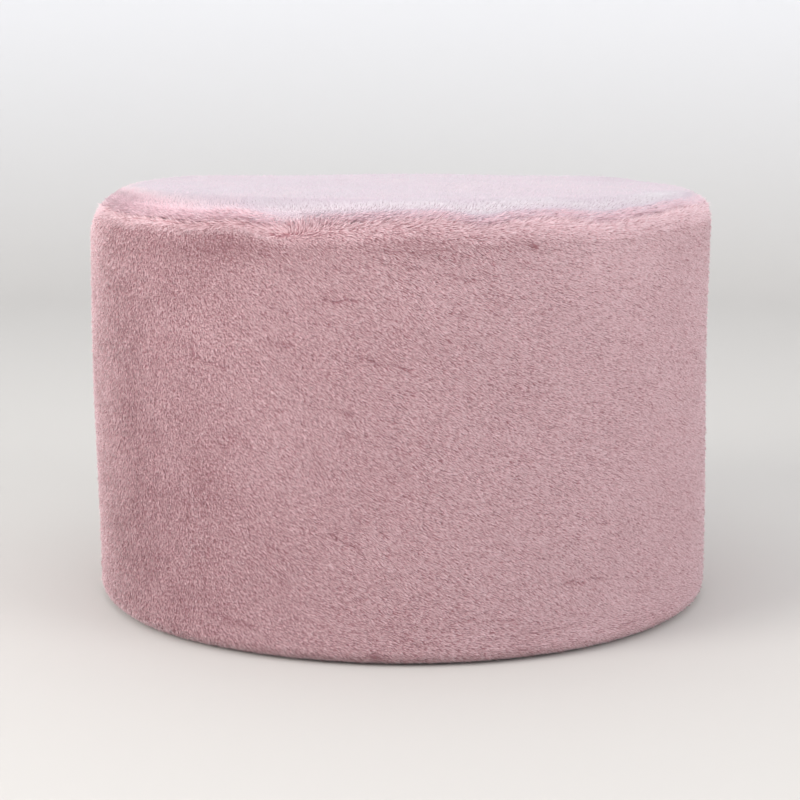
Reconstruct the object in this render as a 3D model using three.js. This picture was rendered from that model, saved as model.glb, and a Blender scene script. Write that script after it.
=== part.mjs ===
// A round pouf covered in short plush: a crowned top panel and a flat base panel,
// each sewn to the filled drum of the side band. Millimetres, +Z up, front towards -Y.
// The surfaces are those of the pile's tips, and the origin is on the floor under the middle.

import * as THREE from 'three';
import { mergeVertices } from 'three/addons/utils/BufferGeometryUtils.js';

// Driving dimensions
const RADIUS = 300; // pile tips at the side band
const RIM_HEIGHT = 395.5; // floor to the crest of the rim
const CROWN = 2.5; // rise of the top panel's middle above that crest
const LEAN = -0.0065; // sideways shift of the top, to the left, for each millimetre of height
const SECTORS = 120; // flats around the pouf

// The seam between the top panel and the band: a groove part of the way round the rim's arc
const SEAM_ANGLE = THREE.MathUtils.degToRad(39);
const SEAM_HEIGHT = 376; // about its mean, where the two panels meet inside
const GROOVE_REACH = 16; // from the seam to where a panel is full again
const PANEL_GAP = 0.3; // between neighbouring panels

// The foot, where the band turns under and the base panel closes it
const FOOT_RADIUS = 14;
const HEM_CLEARANCE = 0.6; // the band's lowest pile above the floor
const BASE_INSET = 2; // from the start of the foot's rounding to the base panel's edge
const BASE_RADIUS = RADIUS - FOOT_RADIUS - BASE_INSET;
const BASE_THICKNESS = 3;
const BASE_EDGE = 1; // bevel of the base panel's edge

// Rows of points along a profile
const GROOVE_STEPS = [1, 0.6, 0.28, 0.1]; // shares of the groove's reach, towards the seam
const SHOULDER_STEPS = 2;
const CREST_STEPS = 3;
const CROWN_STEPS = 5;
const FOOT_STEPS = 4;
const SIDE_STEPS = 10;

// How the rim changes round the pouf. Bearings are in degrees, anticlockwise from +X seen
// from above, so the left is 180 and the front is 270. The arc is the rim's rounding, the
// crest is its rise above or below the usual height, and the groove is the seam's depth.
const RIM = [
  { bearing: 17, arc: 31, crest: -1.5, groove: 5 },
  { bearing: 36, arc: 36, crest: 1.8, groove: 6 },
  { bearing: 62, arc: 40, crest: -0.4, groove: 7 },
  { bearing: 90, arc: 40, crest: -0.2, groove: 7 },
  { bearing: 115, arc: 40, crest: -1.5, groove: 7 },
  { bearing: 150, arc: 44, crest: 2.2, groove: 6.5 },
  { bearing: 183, arc: 49, crest: 0.6, groove: 6 },
  { bearing: 215, arc: 46, crest: 0.6, groove: 6.5 },
  { bearing: 270, arc: 40, crest: 0, groove: 7 },
  { bearing: 325, arc: 34, crest: -0.6, groove: 7 },
  { bearing: 350, arc: 31, crest: -1.5, groove: 4.5 },
];

// How the seam wanders: its rise along the rim, above or below the usual line.
const SEAM_LINE = [
  { bearing: 14, rise: 1 },
  { bearing: 40, rise: -1.5 },
  { bearing: 70, rise: 1.5 },
  { bearing: 100, rise: -1 },
  { bearing: 130, rise: 1.5 },
  { bearing: 160, rise: -0.5 },
  { bearing: 198, rise: 4 },
  { bearing: 216, rise: -1 },
  { bearing: 232, rise: -2 },
  { bearing: 242, rise: 1 },
  { bearing: 251, rise: -5 },
  { bearing: 259, rise: -2 },
  { bearing: 270, rise: 1 },
  { bearing: 276, rise: 1 },
  { bearing: 283, rise: -5 },
  { bearing: 290, rise: 0 },
  { bearing: 296, rise: 0 },
  { bearing: 306, rise: -5 },
  { bearing: 318, rise: -2 },
  { bearing: 328, rise: 2 },
  { bearing: 345, rise: 0 },
  { bearing: 358, rise: -2 },
];

// Soft swellings of the side, and dents where the rise is below nothing.
const SWELLINGS = [
  { bearing: 186, height: 225, reach: 150, rise: 2.4 },
  { bearing: 181, height: 50, reach: 60, rise: -1.8 },
  { bearing: 222, height: 0, reach: 120, rise: 2.6 },
  { bearing: 240, height: 322, reach: 80, rise: -1.6 },
  { bearing: 262, height: 215, reach: 120, rise: 1.2 },
  { bearing: 300, height: 120, reach: 110, rise: 1.4 },
  { bearing: 318, height: 290, reach: 90, rise: -1.2 },
  { bearing: 352, height: 250, reach: 140, rise: -2.4 },
  { bearing: 30, height: 200, reach: 130, rise: 1.2 },
  { bearing: 75, height: 120, reach: 130, rise: -1.2 },
  { bearing: 120, height: 260, reach: 130, rise: 1.4 },
];

// Value of one column of a table at any bearing, eased from row to row round the full turn.
function around(table, column, bearing) {
  const next = table.findIndex((row) => row.bearing > bearing);
  const b = table[next < 0 ? 0 : next];
  const a = table[(next <= 0 ? table.length : next) - 1];
  const span = (b.bearing - a.bearing + 360) % 360;
  const share = ((bearing - a.bearing + 360) % 360) / span;
  return THREE.MathUtils.lerp(a[column], b[column], THREE.MathUtils.smoothstep(share, 0, 1));
}

// How far the side stands out at a bearing and a height.
function swelling(bearing, height) {
  let rise = 0;
  for (const s of SWELLINGS) {
    const turn = THREE.MathUtils.euclideanModulo(bearing - s.bearing + 180, 360) - 180;
    const across = (THREE.MathUtils.degToRad(turn) * RADIUS) / s.reach;
    const up = (height - s.height) / s.reach;
    rise += s.rise * Math.exp(-2 * (across * across + up * up));
  }
  return rise;
}

// The rim at a bearing: its arc, the arc's centre and the seam's place on it.
function rimAt(bearing) {
  const arc = around(RIM, 'arc', bearing);
  const height = RIM_HEIGHT + around(RIM, 'crest', bearing) - arc;
  const rise = around(SEAM_LINE, 'rise', bearing);
  return {
    arc,
    height,
    groove: around(RIM, 'groove', bearing),
    radius: RADIUS - arc + swelling(bearing, height),
    seam: SEAM_ANGLE + rise / (arc * Math.cos(SEAM_ANGLE)),
  };
}

// A point of the rim's surface, drawn in towards the seam.
function onRim(rim, angle) {
  const away = Math.min(1, (Math.abs(angle - rim.seam) * rim.arc) / GROOVE_REACH);
  const arc = rim.arc - rim.groove * (1 - away) ** 2;
  return new THREE.Vector2(rim.radius + arc * Math.cos(angle), rim.height + arc * Math.sin(angle));
}

// The face where the top panel lies on the band, from the axis out to the seam.
function hiddenFace(rim, lift) {
  const seam = onRim(rim, rim.seam);
  return [new THREE.Vector2(0, SEAM_HEIGHT + lift), new THREE.Vector2(seam.x, seam.y + lift)];
}

// Half section of the top panel at a bearing, from the axis underneath to the axis on top.
function topPanelProfile(bearing) {
  const rim = rimAt(bearing);
  const reach = GROOVE_REACH / rim.arc;
  const points = hiddenFace(rim, PANEL_GAP);
  for (const share of [...GROOVE_STEPS].reverse()) {
    points.push(onRim(rim, rim.seam + share * reach));
  }
  const full = rim.seam + reach;
  for (let i = 1; i <= CREST_STEPS; i++) {
    points.push(onRim(rim, THREE.MathUtils.lerp(full, Math.PI / 2, i / CREST_STEPS)));
  }
  const crest = points.at(-1);
  for (let i = 1; i <= CROWN_STEPS; i++) {
    const share = 1 - i / CROWN_STEPS;
    const middle = RIM_HEIGHT + CROWN;
    points.push(new THREE.Vector2(crest.x * share, THREE.MathUtils.lerp(middle, crest.y, share ** 3)));
  }
  return points;
}

// Half section of the side band and its filling, from the axis underneath to the axis on top.
function sideBandProfile(bearing) {
  const rim = rimAt(bearing);
  const reach = GROOVE_REACH / rim.arc;
  const recess = BASE_RADIUS + PANEL_GAP;
  const under = BASE_THICKNESS + PANEL_GAP;
  const points = [new THREE.Vector2(0, under), new THREE.Vector2(recess, under)];
  points.push(new THREE.Vector2(recess, HEM_CLEARANCE));
  const foot = HEM_CLEARANCE + FOOT_RADIUS;
  for (let i = 0; i <= FOOT_STEPS; i++) {
    const angle = (Math.PI / 2) * (i / FOOT_STEPS - 1);
    const height = foot + FOOT_RADIUS * Math.sin(angle);
    const radius = RADIUS + FOOT_RADIUS * (Math.cos(angle) - 1) + swelling(bearing, height);
    points.push(new THREE.Vector2(radius, height));
  }
  for (let i = 1; i <= SIDE_STEPS; i++) {
    const height = THREE.MathUtils.lerp(foot, rim.height, i / SIDE_STEPS);
    points.push(new THREE.Vector2(RADIUS + swelling(bearing, height), height));
  }
  const full = rim.seam - reach;
  for (let i = 1; i < SHOULDER_STEPS; i++) {
    points.push(onRim(rim, (full * i) / SHOULDER_STEPS));
  }
  for (const share of GROOVE_STEPS) {
    points.push(onRim(rim, rim.seam - share * reach));
  }
  return points.concat(hiddenFace(rim, 0).reverse());
}

// Half section of the base panel, from the axis on the floor to the axis inside.
function basePanelProfile() {
  return [
    new THREE.Vector2(0, 0),
    new THREE.Vector2(BASE_RADIUS - BASE_EDGE, 0),
    new THREE.Vector2(BASE_RADIUS, BASE_EDGE),
    new THREE.Vector2(BASE_RADIUS, BASE_THICKNESS),
    new THREE.Vector2(0, BASE_THICKNESS),
  ];
}

// A closed turned solid whose half section changes with the bearing, leaning with the pouf.
function turned(profileAt) {
  const rows = profileAt(0).length;
  const geometry = new THREE.LatheGeometry(profileAt(0), SECTORS);
  geometry.deleteAttribute('normal');
  geometry.deleteAttribute('uv');
  const position = geometry.getAttribute('position');
  for (let i = 0; i <= SECTORS; i++) {
    const bearing = (360 * (i % SECTORS)) / SECTORS;
    const angle = THREE.MathUtils.degToRad(bearing);
    profileAt(bearing).forEach((point, row) => {
      const x = point.x * Math.cos(angle) + LEAN * point.y;
      position.setXYZ(i * rows + row, x, point.x * Math.sin(angle), point.y);
    });
  }
  return mergeVertices(geometry);
}

function plush(colour) {
  return new THREE.MeshStandardMaterial({ color: colour, roughness: 0.95, metalness: 0 });
}

function panel(name, profileAt, material) {
  const mesh = new THREE.Mesh(turned(profileAt), material);
  mesh.name = name;
  return mesh;
}

const cover = new THREE.Group();
cover.add(panel('top_panel', topPanelProfile, plush(0xd6b6bf)));
cover.add(panel('side_band', sideBandProfile, plush(0xc29aa0)));
cover.add(panel('base_panel', basePanelProfile, plush(0xa9868c)));

// The origin is under the middle of the whole outline.
const outline = new THREE.Box3().setFromObject(cover);
const middle = outline.getCenter(new THREE.Vector3());
cover.position.set(-middle.x, -middle.y, 0);

const pouf = new THREE.Group();
pouf.add(cover);

export default pouf;
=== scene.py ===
"""A round pouf in short pink plush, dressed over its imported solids.

Each panel's solid reaches to the tips of the pile. Here every panel gets its backing cloth, set in by
the depth of the pile, and the pile itself as many small locks rooted in that cloth. The lie of the
pile, its partings and its shading follow short tables of bearings and heights on the pouf.

Lengths are in metres with +Z up, or in millimetres in the tables. Bearings are in degrees from the
front, positive to the right. A lie is in degrees below level, towards the right. A fade is the pair
of values between which something eases in, and the first of them may be the larger.
"""

import math

import bpy
import numpy as np
from mathutils import Matrix, Vector


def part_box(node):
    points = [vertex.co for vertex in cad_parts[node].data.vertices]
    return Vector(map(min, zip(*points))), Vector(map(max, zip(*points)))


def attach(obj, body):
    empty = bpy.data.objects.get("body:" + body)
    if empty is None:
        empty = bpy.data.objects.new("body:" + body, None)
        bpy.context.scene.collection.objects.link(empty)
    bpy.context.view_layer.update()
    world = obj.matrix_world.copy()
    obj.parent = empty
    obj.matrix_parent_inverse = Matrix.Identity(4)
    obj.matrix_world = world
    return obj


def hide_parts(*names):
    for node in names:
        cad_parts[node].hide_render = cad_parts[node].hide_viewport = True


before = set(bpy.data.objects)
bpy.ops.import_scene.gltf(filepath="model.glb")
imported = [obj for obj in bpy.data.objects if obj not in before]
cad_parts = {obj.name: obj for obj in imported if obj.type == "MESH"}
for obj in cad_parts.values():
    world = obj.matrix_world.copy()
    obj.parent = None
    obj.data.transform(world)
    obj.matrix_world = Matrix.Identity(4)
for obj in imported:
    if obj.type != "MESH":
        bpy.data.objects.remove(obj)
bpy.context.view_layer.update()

MM = 0.001
UP = np.array([0, 0, 1])
SEED = 20

# Noise, and even scattering
LATTICE = 32  # cells each way before the noise repeats
EVEN_SHIFTS = (0.0, 0.33, 0.67)  # of the small cells that tones are evened out over
CELL_KEYS = np.array([1, 2000, 4000000])  # number those cells, so that no two are alike
EVEN_STEPS = np.array([0.7548776662466927, 0.5698402909980532])  # of an even two-way sequence

# Locks of pile
PILE_DEPTH = 1.5 * MM  # tips to backing
SEAM_INSET = 1.2 * MM  # of the backing, straight in
ROOT_BURIED = 0.2 * MM  # how far a lock starts under the backing's face
FLOOR_CLEARANCE = 0.3 * MM
LOCK_WIDTH = 0.65 * MM  # at its shoulder
WIDTH_SPREAD = 0.2  # from lock to lock, as a share, within the limits
WIDTH_LIMITS = (-0.4, 0.5)
LOCK_SHOULDER = 0.6  # share of a lock's length where it is widest
LOCK_ROLL = 0.35  # spread of the turn of locks about their length, in radians
LONGEST_LOCK = 12 * MM
SIDE_LENGTH_SPREAD = 0.12  # from lock to lock, as a share, within the limits
TOP_LENGTH_SPREAD = 0.1
LENGTH_LIMITS = (-0.3, 0.15)
STRAY = 0.04  # share of the locks that stand out from the rest
STRAY_LIFT = math.radians(18)

# How far apart the locks are
FRONT_SPACING = 0.87 * MM  # round the front of the side
BACK_SPACING = 1.12 * MM
BACK_SPACING_FADE = (75, 105)  # bearings to either hand
ROLL_SPACING = 1.0 * MM  # on the top panel's rolled edge
TOP_SPACING = 1.4 * MM
ROLL = 45 * MM  # from the seam to the flat of the top

# Strands of locks that lean and shade alike
STRAND = 0.65 * MM  # across a strand
STRAND_STEPS = np.linspace(-4.5, 4.5, 9) * MM  # along it
STRAND_SHIFT = 2.7  # in the noise
STRAND_GAIN = 2

# The seam between the panels lies in a groove of the rim, which the pile fills but for a few slits.
RIM_ARC = 40 * MM
SEAM_ANGLE = math.radians(39)  # of the rim's arc, above level
SEAM_RADIUS = 281  # in millimetres, as the side's
SIDE_RADIUS = 300
GROOVE_DEPTH = 6.5 * MM
GROOVE_REACH = 16 * MM
SLIT = 2 * MM  # half the width of a slit
SLIT_HOLLOW = 0.6  # share of the filling that a slit takes away
NEAR_SEAM = 9 * MM  # how far the pile is ruffled and raised beside the seam

# Room round the base panel that its recess in the side band keeps within
RECESS_ASIDE = 2 * MM
RECESS_ABOVE = 1 * MM

# Where the left begins, for each thing that differs there. All of it fades out again at the back.
LEFT_LIE_FADE = (-8, -26)
LEFT_RUFFLE_FADE = (-15, -45)
LEFT_TONE_FADE = (-6, -62)
CORNER_FADE = (-45, -75)  # round the left corner
BACK_FADE = (-178, -120)

# Lie of the side's pile, besides the comb's
LOW_FADE = (230, 100)  # heights, from the comb's lie to its low one
HEM_LIE = 6
HEM_FADE = (48, 18)  # heights
HEM_SIDE_FADE = (-24, 0)  # bearings
SEAM_LIE = -8  # beside the seam
SEAM_LIE_FADE = (16 * MM, 4 * MM)
LEFT_SEAM_TURN = -220  # added on the left, so that it turns by way of up to the lower left
CORNER_SEAM_TURN = -30  # added round the left corner
RUFFLE = 3  # spread of the lie from lock to lock
SEAM_RUFFLE = 12  # more of it beside the seam
LEFT_RUFFLE = 32  # and more on the left

# Lie of the top's pile. On the flat it is measured from the right, towards the back.
TOP_LIE = 75
TOP_LIE_SPREAD = 8
ROLL_LIE_FADE = (18 * MM, 5 * MM)  # from the flat's lie to that of the rolled edge
ROLL_LIE_SPREAD = 10
ROLL_DIP = 25  # towards the seam
ROLL_DIP_FADE = (12 * MM, 3 * MM)
LEFT_ROLL_LIE = 145
CORNER_ROLL_TURN = -35  # added round the left corner

# Stand of the pile, in degrees from the cloth, besides the comb's
STAND_LIMITS = (13, 75)
STAND_SPREAD = 2
SEAM_STAND = 18  # added beside the seam
SIDE_STRAND_STAND = 3  # by which strands differ
TOP_STAND = 20
TOP_STRAND_STAND = 2

# Shading: how far a lock's follows the cloth under it, and how far that of a level top
SIDE_EVENNESS = 0.5
TOP_EVENNESS = 0.9
ROLL_EVENNESS = 0.65
SIDE_LEVEL = 0.6  # round the left corner, beside the seam
SIDE_LEVEL_FADE = (28 * MM, 12 * MM)
ROLL_LEVEL = 0.7  # on the left of the rolled edge
ROLL_LEVEL_FADE = (4 * MM, 14 * MM)
CORNER_LEVEL = 0.95

# Tone of the locks, besides the tables'
STRAND_TONE = 0.5  # by which strands differ on the side
LEFT_STRAND_TONE = 0.1
LOCK_TONE = 0.38  # by which single locks differ on the side
LEFT_LOCK_TONE = 0.54
SIDE_CELL = 1.9 * MM  # those are evened out over cells of this size
TOP_MIX = 0.06  # by which strands and locks differ on the top
ROLL_MIX = 0.18
TOP_CELL = 2.5 * MM
# painted light where the side faces up under the seam
SHOULDER_LIGHT_FADE = (0.0, 0.5)  # upward share of the normal where the side turns in
# Painted shade in the seam's slits, on the side and on the top
SIDE_SLIT_SHADE = -0.5
TOP_SLIT_SHADE = -0.25
PINK_FADE = (16 * MM, 2 * MM)  # of the top's rolled edge, towards the seam
FRONT_TONE_FADE = (85, 55)  # bearings to either hand
# Painted sheen: the rolled edge is paler on the right.
RIGHT_PAINTED_SHEEN = 0.1  # added to the rolled edge on the right
RIGHT_PAINTED_SHEEN_FADE = (55, 80)

# How the pile lies round the side. The lie changes to the low one towards the floor. The stand is
# measured from the cloth. The tone is the usual one at that bearing, paler round the left as painted
# sheen, the shoulder is painted light added where the side turns in and faces up, and the contrast is
# how far neighbouring locks differ.
COMB = [
    {"bearing": -180, "lie": 60, "low": 60, "stand": 20, "tone": 0.66, "shoulder": 0.2, "contrast": 1},
    {"bearing": -140, "lie": 105, "low": 105, "stand": 20, "tone": 0.68, "shoulder": 0.3, "contrast": 1},
    {"bearing": -100, "lie": 105, "low": 105, "stand": 19, "tone": 0.77, "shoulder": 0.2, "contrast": 0.8},
    {"bearing": -80, "lie": 80, "low": 80, "stand": 19, "tone": 0.79, "shoulder": 0.2, "contrast": 0.7},
    {"bearing": -60, "lie": 38, "low": 38, "stand": 19, "tone": 0.77, "shoulder": 0.05, "contrast": 0.7},
    {"bearing": -42, "lie": 24, "low": 22, "stand": 19, "tone": 0.7, "shoulder": 0.25, "contrast": 0.8},
    {"bearing": -22, "lie": 25, "low": 22, "stand": 18, "tone": 0.66, "shoulder": 0.4, "contrast": 1.15},
    {"bearing": -8, "lie": 26, "low": 20, "stand": 18, "tone": 0.65, "shoulder": 0.3, "contrast": 1.35},
    {"bearing": 10, "lie": 24, "low": 22, "stand": 17, "tone": 0.72, "shoulder": 0.3, "contrast": 1.35},
    {"bearing": 30, "lie": 16, "low": 28, "stand": 17, "tone": 0.81, "shoulder": 0.3, "contrast": 1.3},
    {"bearing": 60, "lie": 20, "low": 26, "stand": 17, "tone": 0.7, "shoulder": 0.3, "contrast": 1.15},
    {"bearing": 100, "lie": 26, "low": 26, "stand": 18, "tone": 0.65, "shoulder": 0.3, "contrast": 1},
    {"bearing": 140, "lie": 34, "low": 34, "stand": 20, "tone": 0.64, "shoulder": 0.3, "contrast": 1},
]

# What the pile wanders by: noise with lumps of this size, and its swing in degrees, or in tone. The
# shift keeps one noise apart from another.
WAVES = [
    {"of": "side_lie", "size": 60, "shift": 0.0, "swing": 4},
    {"of": "side_lie", "size": 21, "shift": 3.3, "swing": 5},
    {"of": "side_lie", "size": 8, "shift": 7.1, "swing": 3},
    {"of": "hem_lie", "size": 16, "shift": 4.1, "swing": 12},
    {"of": "side_stand", "size": 26, "shift": 11.7, "swing": 2},
    {"of": "side_tone", "size": 46, "shift": 1.9, "swing": 0.05},
    {"of": "left_tone", "size": 24, "shift": 8.3, "swing": 0.1},
    {"of": "roll_lie", "size": 14, "shift": 1.3, "swing": 25},
    {"of": "top_lie", "size": 110, "shift": 0.0, "swing": 25},
    {"of": "top_lie", "size": 30, "shift": 4.4, "swing": 14},
    {"of": "top_lie", "size": 8, "shift": 2.6, "swing": 8},
    {"of": "top_stand", "size": 26, "shift": 8.8, "swing": 3},
    {"of": "top_tone", "size": 50, "shift": 6.1, "swing": 0.05},
    {"of": "top_tone", "size": 15, "shift": 9.2, "swing": 0.05},
]

# The top's tone by the distance from the seam: as usual, round the front and on the left. Its paleness
# on the flat is partly painted light from above and painted sheen, the palest band along the front of
# the crest is a painted highlight, and the deeper tone on the left is painted shade.
TOP_TONES_AND_LIGHT = [
    {"where": "usual", "away": 0, "tone": 0.25},
    {"where": "usual", "away": 4, "tone": 0.3},
    {"where": "usual", "away": 16, "tone": 0.55},
    {"where": "usual", "away": 32, "tone": 0.6},
    {"where": "front", "away": 0, "tone": 0.25},
    {"where": "front", "away": 3, "tone": 0.28},
    {"where": "front", "away": 9, "tone": 0.45},
    {"where": "front", "away": 11, "tone": 0.85},
    {"where": "front", "away": 16, "tone": 0.95},
    {"where": "front", "away": 34, "tone": 0.6},
    {"where": "left", "away": 0, "tone": 0.06},
    {"where": "left", "away": 15, "tone": 0.12},
    {"where": "left", "away": 24, "tone": 0.4},
    {"where": "left", "away": 36, "tone": 0.6},
]

# Where the pile is deeper or paler in tone than elsewhere: soft ovals on the side. The deep ones under
# the rim are painted shade where the pile parts, partly its deeper roots showing; the small dark ones are
# painted shadow in a hole by the rim, a notch at the hem and small creases; the widest is darker towards
# the lower left, and the pale ones are paler high on the side.
PATCHES = [
    {"bearing": -29, "height": 360, "wide": 62, "tall": 17, "tone": -0.42},
    {"bearing": 4, "height": 363, "wide": 44, "tall": 11, "tone": -0.32},
    {"bearing": 19, "height": 364, "wide": 24, "tall": 8, "tone": -0.16},
    {"bearing": 21, "height": 358, "wide": 4, "tall": 2.5, "tone": -0.90},
    {"bearing": -8.6, "height": 220, "wide": 4, "tall": 3, "tone": -0.40},
    {"bearing": -39.3, "height": 115, "wide": 5, "tall": 3, "tone": -0.40},
    {"bearing": -4.6, "height": 9, "wide": 5, "tall": 4, "tone": -0.70},
    {"bearing": -40, "height": 90, "wide": 110, "tall": 90, "tone": -0.18},
    {"bearing": 37, "height": 342, "wide": 70, "tall": 36, "tone": 0.24},
    {"bearing": -74, "height": 350, "wide": 70, "tall": 30, "tone": 0.22},
    {"bearing": 5, "height": 312, "wide": 90, "tall": 36, "tone": 0.08},
]

# Partings, where the pile falls to both sides of a short line and shows its roots, with painted shade
# along the line. The run is the line's length, and its slope is measured as a lie is.
PARTINGS = [
    {"bearing": -9.8, "height": 314, "run": 30, "slope": 0, "open": 0.9},
    {"bearing": -2.7, "height": 262, "run": 46, "slope": 11, "open": 0.8},
    {"bearing": 6.2, "height": 337, "run": 76, "slope": 12, "open": 0.5},
    {"bearing": -33.6, "height": 256, "run": 40, "slope": 9, "open": 0.9},
    {"bearing": -37.0, "height": 262, "run": 12, "slope": 80, "open": 0.8},
    {"bearing": -8.9, "height": 108, "run": 34, "slope": 27, "open": 0.8},
    {"bearing": 35.3, "height": 115, "run": 19, "slope": 18, "open": 0.8},
    {"bearing": 32.0, "height": 67, "run": 55, "slope": -1, "open": 0.5},
    {"bearing": 14.0, "height": 40, "run": 70, "slope": 3, "open": 0.4},
    {"bearing": 24.0, "height": 26, "run": 60, "slope": -4, "open": 0.5},
    {"bearing": 4.0, "height": 22, "run": 50, "slope": 6, "open": 0.4},
    {"bearing": 42.7, "height": 18, "run": 22, "slope": 0, "open": 0.8},
    {"bearing": -29.3, "height": 32, "run": 44, "slope": 7, "open": 0.9},
]
PARTING_SWAY = 1.0  # how far a parting bends off its line, in millimetres
PARTING_BEND = 3.5  # and along it, for each radian of the bend
PARTING_STUB = 0.3  # least share that is left of a lock
# Painted shade beside a parting
PARTING_PAINTED_SHADE = -0.5
PARTING_SHADOW = 1.3  # how far that reaches to either side, in millimetres

# More of them, short and faint, all over the side
NICKS = 260
NICK_HEIGHT = (12, 365)
NICK_RUN = (6, 30)  # most are short
NICK_SLOPE_SPREAD = 8  # about the pile's lie
NICK_OPEN = (0.2, 0.5)

# The slits, where the seam isn't hidden by pile, round the front.
SLITS = [
    {"bearing": -69.0, "run": 22, "open": 0.9},
    {"bearing": -58.0, "run": 32, "open": 0.8},
    {"bearing": -47.5, "run": 10, "open": 0.7},
    {"bearing": -40.0, "run": 25, "open": 0.8},
    {"bearing": -32.8, "run": 14, "open": 0.5},
    {"bearing": -30.1, "run": 8, "open": 0.4},
    {"bearing": -27.5, "run": 11, "open": 0.45},
    {"bearing": -24.9, "run": 10, "open": 0.4},
    {"bearing": -22.0, "run": 12, "open": 0.45},
    {"bearing": -19.2, "run": 7, "open": 0.6},
    {"bearing": -14.0, "run": 13, "open": 0.4},
    {"bearing": -11.5, "run": 6, "open": 0.4},
    {"bearing": -8.5, "run": 10, "open": 0.45},
    {"bearing": -3.6, "run": 8, "open": 0.4},
    {"bearing": 0.3, "run": 11, "open": 0.3},
    {"bearing": 9.1, "run": 7, "open": 0.6},
    {"bearing": 13.8, "run": 25, "open": 0.5},
    {"bearing": 28.5, "run": 15, "open": 0.5},
    {"bearing": 35.0, "run": 20, "open": 0.5},
    {"bearing": 47.5, "run": 54, "open": 1.0},
    {"bearing": 58.8, "run": 46, "open": 0.9},
    {"bearing": 73.0, "run": 60, "open": 0.7},
]

# More of them round the back, at about these bearings
BACK_SLITS = np.arange(92, 280, 8)
BACK_SLIT_SHIFT = (-3, 3)
BACK_SLIT_RUN = (6, 30)
BACK_SLIT_OPEN = (0.4, 0.9)

# Pieces of pile on the side, each round this many degrees
SIDE_SECTOR = 60

# Where a lock's points lie in the square of its UV map, set out for a bake of its colours: its tone
# across the square, and the way along it up the square
BAKE_MARGIN = 0.02
BAKE_WIDTH = 0.96
BAKE_SPREAD = 0.004  # of a lock to either side of its tone

# Pile colours by tone, at the root of a lock and at its tip. The top's are pink beside the seam,
# pale on the flat and palest along the front of the rim's crest; the pale flat is partly painted light
# from above and painted sheen, and the palest crest is a painted highlight.
SIDE_COLOURS = [
    {"tone": 0, "root": (0.385, 0.17, 0.195), "tip": (0.48, 0.25, 0.275)},
    {"tone": 1, "root": (0.70, 0.36, 0.40), "tip": (1.00, 0.87, 0.905)},
]
TOP_COLOURS_AND_LIGHT = [
    {"tone": 0, "root": (0.49, 0.30, 0.34), "tip": (0.60, 0.43, 0.48)},
    {"tone": 0.25, "root": (0.82, 0.555, 0.61), "tip": (0.93, 0.73, 0.785)},
    {"tone": 0.45, "root": (0.81, 0.66, 0.71), "tip": (0.89, 0.76, 0.80)},
    {"tone": 0.6, "root": (0.73, 0.63, 0.70), "tip": (0.756, 0.651, 0.72)},
    {"tone": 0.95, "root": (0.80, 0.725, 0.76), "tip": (0.83, 0.79, 0.82)},
]
# The deep root colours are partly painted shade down among the locks.
ROOT_END = 0.2  # share along a lock where its root's colour ends
TIP_START = 0.95
THROUGH_LIGHT = 0.42  # share of the light on a lock that passes through it

# Backing cloth
TOP_WEAVE = (0.76, 0.62, 0.68)
SIDE_WEAVE = (0.47, 0.25, 0.28)
BASE_WEAVE = (0.30, 0.20, 0.22)
THREAD = 1.2 * MM
BASE_THREAD = 1.5 * MM
WAVE_SCALE = 0.314  # of waves that repeat at each thread, times the thread
BETWEEN_THREADS = 0.6  # share of the colour that is left there
THREAD_TOP = 0.8  # where the full colour starts, between a thread's edge and its middle

# Floor
FLOOR_RADIUS = 2.6
FLOOR_LEVEL = -0.4 * MM  # just under the base, so that the two faces don't meet
FLOOR_SECTORS = 96
FLOOR_COLOUR = (0.56, 0.54, 0.52)
COVE_RADIUS = 1.2
COVE_TOP = 2.6
COVE_STEPS = 12
WALL_COLOUR = (0.80, 0.80, 0.82)
WALL_START = 0.8  # height where the floor's colour has become the wall's

# Light
WORLD_COLOUR = (0.96, 0.98, 1.0)
WORLD_STRENGTH = 1.05
LAMPS = [
    {"name": "overhead", "place": (0.0, -0.3, 2.6), "size": 2.4, "colour": (1, 1, 1), "power": 6},
    {"name": "left", "place": (-2.4, -1.6, 1.5), "size": 1.8, "colour": (1, 0.99, 0.95), "power": 76},
    {"name": "right", "place": (2.4, -1.6, 1.5), "size": 1.8, "colour": (1, 1, 1), "power": 36},
]
LAMP_AIM = Vector((0, 0, 0.25))

# Camera
CAMERA_PLACE = (1.3 * MM, -1.780, 0.4772)
CAMERA_PITCH = math.radians(9.42)
CAMERA_ROLL = 0.0028  # radians, as the yaw
CAMERA_YAW = 0.0013
FOCAL_PIXELS = 1811
PHOTO_PIXELS = 800
SENSOR = 36.0


def smooth_step(low, high, values):
    """0 before low, 1 past high and an eased change between them. low may be the larger."""
    share = np.clip((values - low) / (high - low), 0, 1)
    return share * share * (3 - 2 * share)


def blend(first, second, share):
    """The first where the share is 0, and the second where it is 1."""
    return first + (second - first) * share


def unit(vectors):
    return vectors / np.maximum(np.linalg.norm(vectors, axis=1, keepdims=True), 1e-12)


def column(table, name):
    return np.array([row[name] for row in table], float)


def around(table, name, bearing):
    """A column of a table at any bearing, all the way round."""
    return np.interp(bearing, column(table, "bearing"), column(table, name), period=360)


lattice = np.random.default_rng(SEED).uniform(-1, 1, (LATTICE, LATTICE, LATTICE))


def noise(points, size, shift):
    """Smooth noise from -1 to 1 at these points, with lumps of about this size."""
    grid = points / size + shift
    low = np.floor(grid).astype(int)
    part = smooth_step(0, 1, grid - low)
    total = np.zeros(len(points))
    for corner in np.ndindex(2, 2, 2):
        cell = (low + corner) % LATTICE
        weight = np.where(corner, part, 1 - part).prod(axis=1)
        total += weight * lattice[cell[:, 0], cell[:, 1], cell[:, 2]]
    return total


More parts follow.
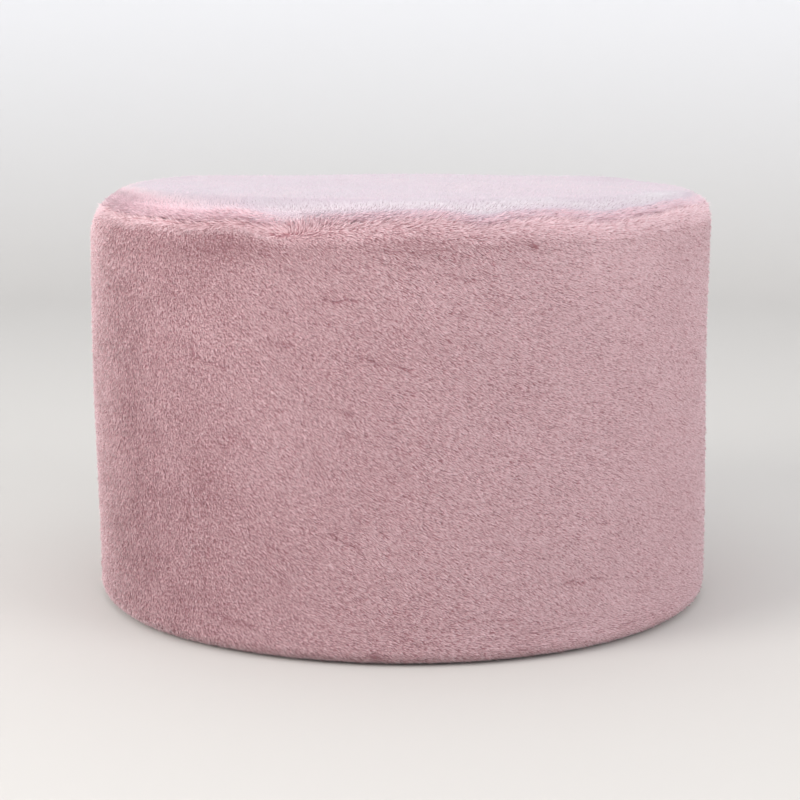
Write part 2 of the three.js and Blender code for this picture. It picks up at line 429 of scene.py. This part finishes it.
def even_out(values, points, size):
    """These values less their means over small cells, so that they differ only from near to near."""
    for shift in EVEN_SHIFTS:
        cells = np.floor(points / size + shift).astype(int) @ CELL_KEYS
        _, owner = np.unique(cells, return_inverse=True)
        mean = np.bincount(owner, values) / np.bincount(owner)
        values = values - mean[owner]
    return values


def bearing_of(points):
    """Degrees from the front, positive to the right."""
    return np.degrees(np.arctan2(points[:, 0], -points[:, 1]))


def turn_from(bearing, middle):
    """How far a bearing is round from another, from -180 to 180 degrees."""
    return (bearing - middle + 180) % 360 - 180


def turn_towards(first, second, share):
    """A direction this share of the short way from one to another, all in degrees."""
    first = np.radians(first)
    second = np.radians(second)
    sine = (1 - share) * np.sin(first) + share * np.sin(second)
    cosine = (1 - share) * np.cos(first) + share * np.cos(second)
    return np.degrees(np.arctan2(sine, cosine))


def on_left(fade, bearing):
    """0 before a fade towards the left, 1 past it, and 0 again at the back."""
    return smooth_step(*fade, bearing) * smooth_step(*BACK_FADE, bearing)


class Panel:
    """A CAD node's points and triangles, with its pile side told from its hidden faces."""

    AXIS = 8 * MM  # points nearer the middle than this are on the turning axis
    FACET = 5 * MM  # longest edge of a triangle to scatter places on
    SAME = 0.01 * MM  # points as close as this are one

    def __init__(self, node):
        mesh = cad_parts[node].data
        mesh.calc_loop_triangles()
        places = np.empty(len(mesh.vertices) * 3)
        mesh.vertices.foreach_get("co", places)
        places = places.reshape(-1, 3)
        corners = np.empty(len(mesh.loop_triangles) * 3, np.int32)
        mesh.loop_triangles.foreach_get("vertices", corners)
        keys = np.round(places / self.SAME).astype(int)
        _, first, joined = np.unique(keys, axis=0, return_index=True, return_inverse=True)
        self.points = places[first]
        self.triangles = joined.reshape(-1)[corners].reshape(-1, 3)
        self.radius = np.hypot(self.points[:, 0], self.points[:, 1])
        self.on_axis = self.radius < self.AXIS

    def ring_of(self, apex):
        """The points of the ring round the hidden face that has this point of the axis."""
        faces = (self.triangles == apex).any(axis=1)
        return np.setdiff1d(self.triangles[faces], [apex])

    def keep_faces(self, faces):
        """Takes these faces as the pile side, and works out its normals."""
        self.outside = self.triangles[faces]
        a, b, c = self.points[self.outside].transpose(1, 0, 2)
        self.normals = np.zeros_like(self.points)
        for corner in range(3):
            np.add.at(self.normals, self.outside[:, corner], np.cross(b - a, c - a))
        self.normals = unit(self.normals)

    def facets(self):
        """The pile side as corners, each a place and a normal, halved until the triangles are small."""
        data = np.concatenate([self.points, self.normals], axis=1)[self.outside]
        done = []
        while len(data):
            edges = np.linalg.norm(data[:, [1, 2, 0], :3] - data[:, :, :3], axis=2)
            large = edges.max(axis=1) > self.FACET
            done.append(data[~large])
            order = (edges[large].argmax(axis=1)[:, None] + np.arange(3)) % 3
            start, end, far = np.take_along_axis(data[large], order[:, :, None], axis=1).transpose(1, 0, 2)
            middle = (start + end) / 2
            halves = [np.stack([start, middle, far], axis=1), np.stack([middle, end, far], axis=1)]
            data = np.concatenate(halves)
        return np.concatenate(done)

    def scatter(self, spacing_at, rng):
        """Even, seeded places on the pile side with their normals. spacing_at tells how far apart."""
        facets = self.facets()
        a, b, c = facets[:, :, :3].transpose(1, 0, 2)
        areas = np.linalg.norm(np.cross(b - a, c - a), axis=1) / 2
        wanted = areas / spacing_at((a + b + c) / 3) ** 2
        counts = np.floor(wanted + rng.random(len(wanted))).astype(int)
        owner = np.repeat(np.arange(len(counts)), counts)
        number = np.arange(len(owner)) - np.repeat(np.cumsum(counts) - counts, counts)
        share = (rng.random((len(counts), 2))[owner] + number[:, None] * EVEN_STEPS) % 1
        over = share.sum(axis=1) > 1
        share[over] = 1 - share[over]
        weights = np.column_stack([1 - share.sum(axis=1), share])
        found = (facets[owner] * weights[:, :, None]).sum(axis=1)
        return found[:, :3], unit(found[:, 3:])


def read_top():
    """The top panel, with the ring of its points at the seam."""
    top = Panel("top_panel")
    lower = np.flatnonzero(top.on_axis)[np.argmin(top.points[top.on_axis, 2])]
    top.keep_faces(~(top.triangles == lower).any(axis=1))
    top.ring = top.ring_of(lower)
    top.upward = 1
    return top


def read_side():
    """The side band, with the ring of its points at the seam."""
    side = Panel("side_band")
    upper = np.flatnonzero(side.on_axis)[np.argmax(side.points[side.on_axis, 2])]
    _, base_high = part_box("base_panel")
    recess = side.radius < base_high.x + RECESS_ASIDE
    recess &= side.points[:, 2] < base_high.z + RECESS_ABOVE
    hidden = side.on_axis[side.triangles].any(axis=1) | recess[side.triangles].all(axis=1)
    side.keep_faces(~hidden)
    side.ring = side.ring_of(upper)
    side.upward = -1
    return side


top_panel = read_top()
side_band = read_side()


def from_seam(places):
    """How far each place is from the seam, measured straight across it."""
    ring = side_band.points[side_band.ring]
    bearings = bearing_of(ring)
    at = bearing_of(places)
    radius = np.interp(at, bearings, np.hypot(ring[:, 0], ring[:, 1]), period=360)
    height = np.interp(at, bearings, ring[:, 2], period=360)
    return np.hypot(np.hypot(places[:, 0], places[:, 1]) - radius, places[:, 2] - height)


def back_slits():
    """Rows like those of the slits, seeded, for the rest of the seam."""
    rng = np.random.default_rng(SEED + 4)
    rows = []
    for bearing in BACK_SLITS:
        row = {"bearing": bearing + rng.uniform(*BACK_SLIT_SHIFT)}
        row["run"] = rng.uniform(*BACK_SLIT_RUN)
        row["open"] = rng.uniform(*BACK_SLIT_OPEN)
        rows.append(row)
    return rows


def seam_open(bearing):
    """How open the seam is at these bearings, from 0 to 1."""
    most = np.zeros(len(bearing))
    for row in SLITS + back_slits():
        aside = np.radians(turn_from(bearing, row["bearing"])) * SEAM_RADIUS / (row["run"] / 2)
        most = np.maximum(most, row["open"] * np.exp(-(aside**4)))
    return most


def new_mesh(name, points, faces):
    """A smooth mesh object from arrays, with the same number of corners in each face."""
    mesh = bpy.data.meshes.new(name)
    mesh.vertices.add(len(points))
    mesh.vertices.foreach_set("co", points.astype(np.float32).ravel())
    mesh.loops.add(faces.size)
    mesh.loops.foreach_set("vertex_index", faces.astype(np.int32).ravel())
    mesh.polygons.add(len(faces))
    starts = np.arange(0, faces.size, faces.shape[1], dtype=np.int32)
    mesh.polygons.foreach_set("loop_start", starts)
    mesh.update(calc_edges=True)
    mesh.shade_smooth()
    piece = bpy.data.objects.new(name, mesh)
    bpy.context.scene.collection.objects.link(piece)
    return piece


def backing(name, panel):
    """A panel's cloth under its pile: the solid with its pile side and its seam set in."""
    points = panel.points.copy()
    moved = np.unique(panel.outside)
    points[moved] -= PILE_DEPTH * panel.normals[moved]
    ring = panel.points[panel.ring]
    level = np.column_stack([ring[:, :2], np.zeros(len(ring))])
    points[panel.ring] = ring - SEAM_INSET * unit(level)
    return new_mesh(name, points, panel.triangles)


class Pile:
    """Locks of pile: where each is rooted, which way it lies, how long and wide it is, and its tone."""

    def __init__(self, panel, spacing_at, evenness, seed):
        self.rng = np.random.default_rng(seed)
        self.places, self.cloth = panel.scatter(spacing_at, self.rng)
        self.count = len(self.places)
        self.evenness = np.full(self.count, evenness)
        self.bearing = bearing_of(self.places)
        self.radius = np.hypot(self.places[:, 0], self.places[:, 1]) / MM
        self.height = self.places[:, 2] / MM
        self.seam = from_seam(self.places)
        self.near_seam = np.exp(-((self.seam / NEAR_SEAM) ** 2))
        self.slit = seam_open(self.bearing) * np.exp(-((self.seam / SLIT) ** 2))
        depth = GROOVE_DEPTH * np.clip(1 - self.seam / GROOVE_REACH, 0, 1) ** 2
        self.fill = depth * (1 - SLIT_HOLLOW * self.slit)
        self.normals = self.over_groove(panel.upward)
        self.shade = self.normals

    def over_groove(self, upward):
        """The cloth's normals, or those of a rim without its groove where the pile fills the groove."""
        lift = (SEAM_ANGLE + upward * self.seam / RIM_ARC)[:, None]
        out = unit(self.places * (1, 1, 0))
        whole = np.cos(lift) * out + np.sin(lift) * UP
        share = (1 - self.slit) * smooth_step(GROOVE_REACH, GROOVE_REACH / 2, self.seam)
        return unit(blend(self.cloth, whole, share[:, None]))

    def shade_level(self, share):
        """Shades the pile as on a level top by this share."""
        self.shade = unit(blend(self.normals, UP, share[:, None]))

    def jitter(self, spread):
        return self.rng.normal(0, spread, self.count)

    def waves(self, name):
        """What the pile wanders by at each lock, from the rows of this name."""
        total = np.zeros(self.count)
        for row in WAVES:
            if row["of"] == name:
                total += row["swing"] * noise(self.places, row["size"] * MM, row["shift"])
        return total

    def strands(self, way):
        """Noise from about -1 to 1 that is drawn out into strands along these directions."""
        total = np.zeros(self.count)
        for step in STRAND_STEPS:
            total += noise(self.places + step * way, STRAND, STRAND_SHIFT)
        return total / math.sqrt(len(STRAND_STEPS)) * STRAND_GAIN

    def lay(self, way, stand):
        """Lies the pile along these directions, upright where they are short or point across the cloth."""
        flat = way - (way * self.normals).sum(axis=1, keepdims=True) * self.normals
        reach = np.linalg.norm(flat, axis=1)
        self.flat = unit(flat)
        stand = np.radians(np.clip(stand, *STAND_LIMITS))
        self.stand = np.arctan2(np.sin(stand), np.cos(stand) * reach)

    def cut(self, spread):
        """Cuts the locks so that their tips are level but for this spread of length, and lifts a few."""
        share = 1 + np.clip(self.jitter(spread), *LENGTH_LIMITS)
        self.length = np.minimum((PILE_DEPTH + self.fill) / np.sin(self.stand), LONGEST_LOCK) * share
        self.stand += STRAY_LIFT * (self.rng.random(self.count) < STRAY)
        self.width = LOCK_WIDTH * (1 + np.clip(self.jitter(WIDTH_SPREAD), *WIDTH_LIMITS))

    def blades(self):
        """Root, tip and shoulder of each lock, and the normal that it is shaded with."""
        root = self.places - self.cloth * (PILE_DEPTH + ROOT_BURIED)
        stand = self.stand[:, None]
        along = np.cos(stand) * self.flat + np.sin(stand) * self.normals
        left = unit(np.cross(self.normals, along))
        up = np.cross(along, left)
        roll = self.jitter(LOCK_ROLL)[:, None]
        aside = np.cos(roll) * left + np.sin(roll) * up
        face = np.cross(along, aside)
        tip = root + along * self.length[:, None]
        shoulder = root + along * (self.length * LOCK_SHOULDER)[:, None] + aside * self.width[:, None]
        corners = np.stack([root, tip, shoulder], axis=1)
        floor = FLOOR_CLEARANCE * (1 + self.rng.random((self.count, 3)))
        corners[:, :, 2] = np.maximum(corners[:, :, 2], floor)
        even = (self.evenness * np.cos(self.stand) ** 2)[:, None]
        return corners, unit(even * self.shade + (1 - even) * face)

    def pieces(self, name, parts):
        """A mesh for each part number, with each lock's tone and the share along it kept on its points."""
        corners, shading = self.blades()
        made = []
        for part in np.unique(parts):
            chosen = parts == part
            label = f"{name}_{part + 1}"
            made.append(self.piece(label, corners[chosen], shading[chosen], self.tone[chosen]))
        return made

    @staticmethod
    def piece(name, corners, shading, tone):
        count = len(corners)
        piece = new_mesh(name, corners.reshape(-1, 3), np.arange(3 * count).reshape(-1, 3))
        normal = piece.data.attributes.new("custom_normal", "FLOAT_VECTOR", "POINT")
        normal.data.foreach_set("vector", np.repeat(shading, 3, axis=0).astype(np.float32).ravel())
        tone = np.repeat(np.clip(tone, 0, 1), 3)
        along = np.tile([0.0, 1.0, LOCK_SHOULDER], count)
        for label, values in (("tone", tone), ("along", along)):
            attribute = piece.data.attributes.new(label, "FLOAT", "POINT")
            attribute.data.foreach_set("value", values.astype(np.float32))
        across = BAKE_MARGIN + BAKE_WIDTH * tone + BAKE_SPREAD * np.tile([-1.0, -1.0, 1.0], count)
        places = np.column_stack([across, BAKE_MARGIN + BAKE_WIDTH * along])
        layer = piece.data.uv_layers.new(name="OFBake", do_init=False)
        layer.uv.foreach_set("vector", places.astype(np.float32).ravel())
        return piece


def faint_nicks():
    """Rows like those of the partings, faint and mostly short, at seeded places."""
    rng = np.random.default_rng(SEED + 3)
    rows = []
    for _ in range(NICKS):
        row = {"bearing": rng.uniform(-180, 180), "height": rng.uniform(*NICK_HEIGHT)}
        row["run"] = blend(*NICK_RUN, rng.random() ** 2)
        row["slope"] = around(COMB, "lie", row["bearing"]) + rng.normal(0, NICK_SLOPE_SPREAD)
        row["open"] = rng.uniform(*NICK_OPEN)
        rows.append(row)
    return rows


def open_parting(pile, row, across, down):
    """Lets no lock cross this parting, and leaves those beside it a little shorter, with painted shade on
    them.
    """
    level = np.radians(turn_from(pile.bearing, row["bearing"])) * pile.radius
    below = row["height"] - pile.height
    near = np.flatnonzero((np.abs(level) < row["run"]) & (np.abs(below) < row["run"]))
    sine = math.sin(math.radians(row["slope"]))
    cosine = math.cos(math.radians(row["slope"]))
    run = level[near] * cosine + below[near] * sine
    bend = PARTING_SWAY * np.sin(run / PARTING_BEND)
    off = -level[near] * sine + below[near] * cosine + bend
    step = pile.length[near] / MM * np.cos(pile.stand[near])
    ahead = (pile.flat[near] * across[near]).sum(axis=1) * step
    under = (pile.flat[near] * down[near]).sum(axis=1) * step
    tip = off - ahead * sine + under * cosine
    inside = np.abs(run + ahead / 2) < row["run"] / 2
    crosses = inside & (off * tip < 0) & (pile.rng.random(len(near)) < row["open"])
    share = np.abs(off) / np.maximum(np.abs(off) + np.abs(tip), 1e-6)
    pile.length[near] *= np.where(crosses, np.maximum(share, PARTING_STUB), 1)
    # Painted shade beside the parting
    pile.tone[near] += PARTING_PAINTED_SHADE * inside * np.exp(-((off / PARTING_SHADOW) ** 2)) * row["open"]


def side_spacing(places):
    back = smooth_step(*BACK_SPACING_FADE, np.abs(bearing_of(places)))
    return blend(FRONT_SPACING, BACK_SPACING, back)


def side_axes(pile):
    """The directions across the side, to the right, and down it at each lock."""
    turn = np.radians(pile.bearing)
    across = np.column_stack([np.cos(turn), np.sin(turn), np.zeros(pile.count)])
    across = unit(across - (across * pile.normals).sum(axis=1, keepdims=True) * pile.normals)
    down = np.cross(across, pile.normals)
    down *= -np.sign(down[:, 2:3])
    return across, down


def side_lie(pile):
    """The lie of the side's pile, which turns along the seam beside it."""
    lie = around(COMB, "lie", pile.bearing)
    lie = blend(lie, around(COMB, "low", pile.bearing), smooth_step(*LOW_FADE, pile.height))
    hem = smooth_step(*HEM_FADE, pile.height) * smooth_step(*HEM_SIDE_FADE, pile.bearing)
    lie = blend(lie, HEM_LIE + pile.waves("hem_lie"), hem) + pile.waves("side_lie")
    left = LEFT_SEAM_TURN * on_left(LEFT_LIE_FADE, pile.bearing)
    corner = CORNER_SEAM_TURN * on_left(CORNER_FADE, pile.bearing)
    return turn_towards(lie, SEAM_LIE + left + corner, smooth_step(*SEAM_LIE_FADE, pile.seam))


def towards(lie, across, down):
    """Directions in space with this lie."""
    lie = np.radians(lie)[:, None]
    return np.cos(lie) * across + np.sin(lie) * down


def side_tone(pile, strand, left):
    """The tone of each lock of the side, where strand tells its strands apart, with painted light on the
    shoulder and painted shade in the slits and the dark patches.
    """
    tone = around(COMB, "tone", pile.bearing) + pile.waves("side_tone")
    mixed = blend(STRAND_TONE, LEFT_STRAND_TONE, left) * strand
    mixed += blend(LOCK_TONE, LEFT_LOCK_TONE, left) * pile.jitter(1)
    tone += even_out(mixed, pile.places, SIDE_CELL) * around(COMB, "contrast", pile.bearing)
    tone += pile.waves("left_tone") * left
    # Painted light on the shoulder, where the side turns in and faces up
    tone += smooth_step(*SHOULDER_LIGHT_FADE, pile.normals[:, 2]) * around(COMB, "shoulder", pile.bearing)
    # Painted shade in the seam's slits
    tone += SIDE_SLIT_SHADE * pile.slit
    for row in PATCHES:
        aside = np.radians(turn_from(pile.bearing, row["bearing"])) * SIDE_RADIUS / row["wide"]
        above = (pile.height - row["height"]) / row["tall"]
        tone += row["tone"] * np.exp(-(aside**2) - above**2)
    return tone


def side_pile():
    """The side's pile, combed, coloured and parted."""
    pile = Pile(side_band, side_spacing, SIDE_EVENNESS, SEED + 1)
    across, down = side_axes(pile)
    lie = side_lie(pile)
    left = on_left(LEFT_RUFFLE_FADE, pile.bearing)
    strand = pile.strands(towards(lie, across, down))
    ruffle = RUFFLE + SEAM_RUFFLE * pile.near_seam + LEFT_RUFFLE * left
    way = towards(lie + pile.jitter(1) * ruffle, across, down)
    stand = around(COMB, "stand", pile.bearing) + pile.waves("side_stand") + SIDE_STRAND_STAND * strand
    pile.lay(way, stand + pile.jitter(STAND_SPREAD) + SEAM_STAND * pile.near_seam)
    pile.cut(SIDE_LENGTH_SPREAD)
    pile.tone = side_tone(pile, strand, left)
    corner = on_left(CORNER_FADE, pile.bearing)
    pile.shade_level(SIDE_LEVEL * corner * smooth_step(*SIDE_LEVEL_FADE, pile.seam))
    for row in PARTINGS + faint_nicks():
        open_parting(pile, row, across, down)
    return pile


def top_spacing(places):
    return np.where(from_seam(places) < ROLL, ROLL_SPACING, TOP_SPACING)


def roll_way(pile):
    """The lie on the top's rolled edge: down it and to the left on the left, and along it elsewhere."""
    turn = np.radians(pile.bearing)
    left = on_left(LEFT_LIE_FADE, pile.bearing)
    lie = ROLL_DIP * smooth_step(*ROLL_DIP_FADE, pile.seam) * (1 - left) + LEFT_ROLL_LIE * left
    lie += CORNER_ROLL_TURN * on_left(CORNER_FADE, pile.bearing)
    lie += pile.waves("roll_lie") + pile.jitter(ROLL_LIE_SPREAD)
    lie = np.radians(lie)
    return np.column_stack([np.cos(turn) * np.cos(lie), np.sin(turn) * np.cos(lie), -np.sin(lie)])


def top_way(pile):
    """The lie of the top's pile: brushed over the flat, and the roll's own on its edge."""
    lie = np.radians(TOP_LIE + pile.waves("top_lie") + pile.jitter(TOP_LIE_SPREAD))
    brushed = np.column_stack([np.cos(lie), np.sin(lie), np.zeros(pile.count)])
    return blend(brushed, roll_way(pile), smooth_step(*ROLL_LIE_FADE, pile.seam)[:, None])


def tone_from_seam(pile, where):
    """The top's tone at each lock, from the rows of this place."""
    rows = [row for row in TOP_TONES_AND_LIGHT if row["where"] == where]
    return np.interp(pile.seam / MM, column(rows, "away"), column(rows, "tone"))


def top_tone(pile, strand, pink):
    """The tone of each lock of the top, where strand tells its strands apart, with painted light and shade
    from the table, painted shade in the slits and painted sheen on the right.
    """
    mixed = blend(TOP_MIX, ROLL_MIX, pink) * (strand + pile.jitter(1))
    front = smooth_step(*FRONT_TONE_FADE, np.abs(pile.bearing))
    tone = blend(tone_from_seam(pile, "usual"), tone_from_seam(pile, "front"), front)
    tone = blend(tone, tone_from_seam(pile, "left"), on_left(LEFT_TONE_FADE, pile.bearing))
    tone += pile.waves("top_tone")
    # Strands and locks differ, and the seam's slits get painted shade
    tone += even_out(mixed, pile.places, TOP_CELL) + TOP_SLIT_SHADE * pile.slit
    # Painted sheen, paler on the right of the rolled edge
    return tone + RIGHT_PAINTED_SHEEN * smooth_step(*RIGHT_PAINTED_SHEEN_FADE, pile.bearing) * pink


def top_pile():
    """The top's pile, brushed and coloured."""
    pile = Pile(top_panel, top_spacing, TOP_EVENNESS, SEED + 2)
    way = top_way(pile)
    strand = pile.strands(way)
    stand = TOP_STAND + pile.waves("top_stand") + TOP_STRAND_STAND * strand
    pile.lay(way, stand + pile.jitter(STAND_SPREAD) + SEAM_STAND * pile.near_seam)
    pile.cut(TOP_LENGTH_SPREAD)
    pink = smooth_step(*PINK_FADE, pile.seam)
    pile.evenness = blend(pile.evenness, ROLL_EVENNESS, pink)
    left = on_left(LEFT_LIE_FADE, pile.bearing) * smooth_step(*ROLL_LEVEL_FADE, pile.seam)
    corner = on_left(CORNER_FADE, pile.bearing)
    pile.shade_level(np.maximum(ROLL_LEVEL * left, CORNER_LEVEL * corner))
    pile.tone = top_tone(pile, strand, pink)
    return pile


class Nodes:
    """A material's node tree, with short ways to add and link its nodes."""

    def __init__(self, name):
        self.material = bpy.data.materials.new(name)
        self.material.use_nodes = True
        self.tree = self.material.node_tree
        self.shader = self.tree.nodes["Principled BSDF"]

    def add(self, kind, **settings):
        node = self.tree.nodes.new(kind)
        for name, value in settings.items():
            setattr(node, name, value)
        return node

    def link(self, output, socket):
        self.tree.links.new(output, socket)

    def ramp(self, factor, stops):
        """A colour ramp of (place, colour) stops, read at this factor."""
        node = self.add("ShaderNodeValToRGB")
        elements = node.color_ramp.elements
        while len(elements) < len(stops):
            elements.new(0.5)
        for element, (place, colour) in zip(elements, stops):
            element.position = place
            element.color = (*colour, 1)
        self.link(factor, node.inputs["Fac"])
        return node.outputs["Color"]

    def mix(self, factor, first, second):
        """Two colours mixed, through those sockets of the node that are for colours."""
        node = self.add("ShaderNodeMix", data_type="RGBA")
        self.link(factor, node.inputs[0])
        self.link(first, node.inputs[6])
        self.link(second, node.inputs[7])
        return node.outputs[2]


def plush(name, colours):
    """Pile colour: roots deep, partly as painted shade among the locks, tips pale, each lock in its own
    tone.
    """
    nodes = Nodes(name)
    along = nodes.add("ShaderNodeAttribute", attribute_name="along").outputs["Fac"]
    tone = nodes.add("ShaderNodeAttribute", attribute_name="tone").outputs["Fac"]
    share = nodes.ramp(along, [(ROOT_END, (0, 0, 0)), (TIP_START, (1, 1, 1))])
    ends = []
    for end in ("root", "tip"):
        ends.append(nodes.ramp(tone, [(row["tone"], row[end]) for row in colours]))
    colour = nodes.mix(share, *ends)
    nodes.link(colour, nodes.shader.inputs["Base Color"])
    nodes.shader.inputs["Roughness"].default_value = 0.75
    nodes.shader.inputs["Specular IOR Level"].default_value = 0.2
    nodes.shader.inputs["Sheen Weight"].default_value = 1.0
    nodes.shader.inputs["Sheen Roughness"].default_value = 0.3
    nodes.shader.inputs["Sheen Tint"].default_value = (0.93, 1.0, 0.98, 1)
    through = nodes.add("ShaderNodeBsdfTranslucent")
    nodes.link(colour, through.inputs["Color"])
    both = nodes.add("ShaderNodeMixShader")
    both.inputs["Fac"].default_value = THROUGH_LIGHT
    nodes.link(nodes.shader.outputs["BSDF"], both.inputs[1])
    nodes.link(through.outputs["BSDF"], both.inputs[2])
    nodes.link(both.outputs["Shader"], nodes.tree.nodes["Material Output"].inputs["Surface"])
    return nodes.material


def woven(name, colour, thread):
    """Plain woven cloth, with its threads raised by bump."""
    nodes = Nodes(name)
    place = nodes.add("ShaderNodeTexCoord").outputs["Object"]
    waves = []
    for direction in ("X", "Y"):
        wave = nodes.add("ShaderNodeTexWave", bands_direction=direction)
        wave.inputs["Scale"].default_value = WAVE_SCALE / thread
        wave.inputs["Distortion"].default_value = 0.6
        nodes.link(place, wave.inputs["Vector"])
        waves.append(wave.outputs["Fac"])
    weave = nodes.add("ShaderNodeMath", operation="MULTIPLY")
    nodes.link(waves[0], weave.inputs[0])
    nodes.link(waves[1], weave.inputs[1])
    between = tuple(BETWEEN_THREADS * part for part in colour)
    threads = nodes.ramp(weave.outputs[0], [(0, between), (THREAD_TOP, colour)])
    nodes.link(threads, nodes.shader.inputs["Base Color"])
    bump = nodes.add("ShaderNodeBump")
    bump.inputs["Strength"].default_value = 0.6
    bump.inputs["Distance"].default_value = thread / 3
    nodes.link(weave.outputs[0], bump.inputs["Height"])
    nodes.link(bump.outputs["Normal"], nodes.shader.inputs["Normal"])
    nodes.shader.inputs["Roughness"].default_value = 0.9
    return nodes.material


def dress(piece, material):
    piece.data.materials.append(material)
    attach(piece, "root")
    return piece


def build_cloth():
    """The backing of the top and of the side, and the plain base."""
    under_top = woven("top_weave", TOP_WEAVE, THREAD)
    top_cloth = dress(backing("top_backing", top_panel), under_top)
    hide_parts("top_panel")
    under_side = woven("side_weave", SIDE_WEAVE, THREAD)
    side_cloth = dress(backing("side_backing", side_band), under_side)
    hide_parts("side_band")
    base = Panel("base_panel")
    base_cloth = new_mesh("base_cloth", base.points, base.triangles)
    dress(base_cloth, woven("base_weave", BASE_WEAVE, BASE_THREAD))
    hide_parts("base_panel")


def build_pile():
    """The pile of the side, in sectors, and of the top, in its front and back halves."""
    side_look = plush("side_pile", SIDE_COLOURS)
    side = side_pile()
    for piece in side.pieces("side_pile", (side.bearing % 360 // SIDE_SECTOR).astype(int)):
        dress(piece, side_look)
    top_look = plush("top_pile", TOP_COLOURS_AND_LIGHT)
    top = top_pile()
    for piece in top.pieces("top_pile", (top.places[:, 1] > 0).astype(int)):
        dress(piece, top_look)


def floor_profile():
    """Half section of the floor and of the cove that it curves up into, as radii and heights."""
    profile = [(0.0, 0.0), (FLOOR_RADIUS, 0.0)]
    for step in range(1, COVE_STEPS + 1):
        angle = math.pi / 2 * step / COVE_STEPS
        out = FLOOR_RADIUS + COVE_RADIUS * math.sin(angle)
        profile.append((out, COVE_RADIUS * (1 - math.cos(angle))))
    profile.append((FLOOR_RADIUS + COVE_RADIUS, COVE_TOP))
    return profile


def floor_look():
    """Matt paint that changes from the floor's colour to the wall's on the way up."""
    nodes = Nodes("pale_floor")
    place = nodes.add("ShaderNodeTexCoord").outputs["Object"]
    height = nodes.add("ShaderNodeSeparateXYZ")
    nodes.link(place, height.inputs["Vector"])
    colour = nodes.ramp(height.outputs["Z"], [(0.0, FLOOR_COLOUR), (WALL_START, WALL_COLOUR)])
    nodes.link(colour, nodes.shader.inputs["Base Color"])
    nodes.shader.inputs["Roughness"].default_value = 0.9
    return nodes.material


def studio_floor():
    """A plain pale floor that curves up all round, with the camera well inside it."""
    profile = floor_profile()
    points = []
    faces = []
    for radius, height in profile:
        for sector in range(FLOOR_SECTORS):
            angle = 2 * math.pi * sector / FLOOR_SECTORS
            points.append((radius * math.cos(angle), radius * math.sin(angle), height + FLOOR_LEVEL))
    for row in range(len(profile) - 1):
        low = row * FLOOR_SECTORS
        high = low + FLOOR_SECTORS
        for sector in range(FLOOR_SECTORS):
            after = (sector + 1) % FLOOR_SECTORS
            faces.append((high + sector, high + after, low + after, low + sector))
    floor = new_mesh("studio_floor", np.array(points), np.array(faces))
    floor.data.materials.append(floor_look())


def studio_light():
    world = bpy.data.worlds.new("studio")
    world.use_nodes = True
    background = world.node_tree.nodes["Background"].inputs
    background["Color"].default_value = (*WORLD_COLOUR, 1)
    background["Strength"].default_value = WORLD_STRENGTH
    bpy.context.scene.world = world
    for row in LAMPS:
        data = bpy.data.lights.new(row["name"], "AREA")
        data.shape = "DISK"
        data.size = row["size"]
        data.color = row["colour"]
        data.energy = row["power"]
        lamp = bpy.data.objects.new(row["name"], data)
        lamp.location = row["place"]
        lamp.rotation_euler = (LAMP_AIM - lamp.location).to_track_quat("-Z", "Y").to_euler()
        bpy.context.scene.collection.objects.link(lamp)


def camera():
    data = bpy.data.cameras.new("camera")
    data.sensor_width = SENSOR
    data.lens = SENSOR * FOCAL_PIXELS / PHOTO_PIXELS
    obj = bpy.data.objects.new("camera", data)
    turn = Matrix.Rotation(CAMERA_YAW, 4, "Z") @ Matrix.Rotation(math.pi / 2 - CAMERA_PITCH, 4, "X")
    obj.matrix_world = Matrix.Translation(CAMERA_PLACE) @ turn @ Matrix.Rotation(CAMERA_ROLL, 4, "Z")
    bpy.context.scene.collection.objects.link(obj)
    bpy.context.scene.camera = obj


build_cloth()
build_pile()
studio_floor()
studio_light()
camera()
bpy.context.scene.view_settings.view_transform = "Standard"
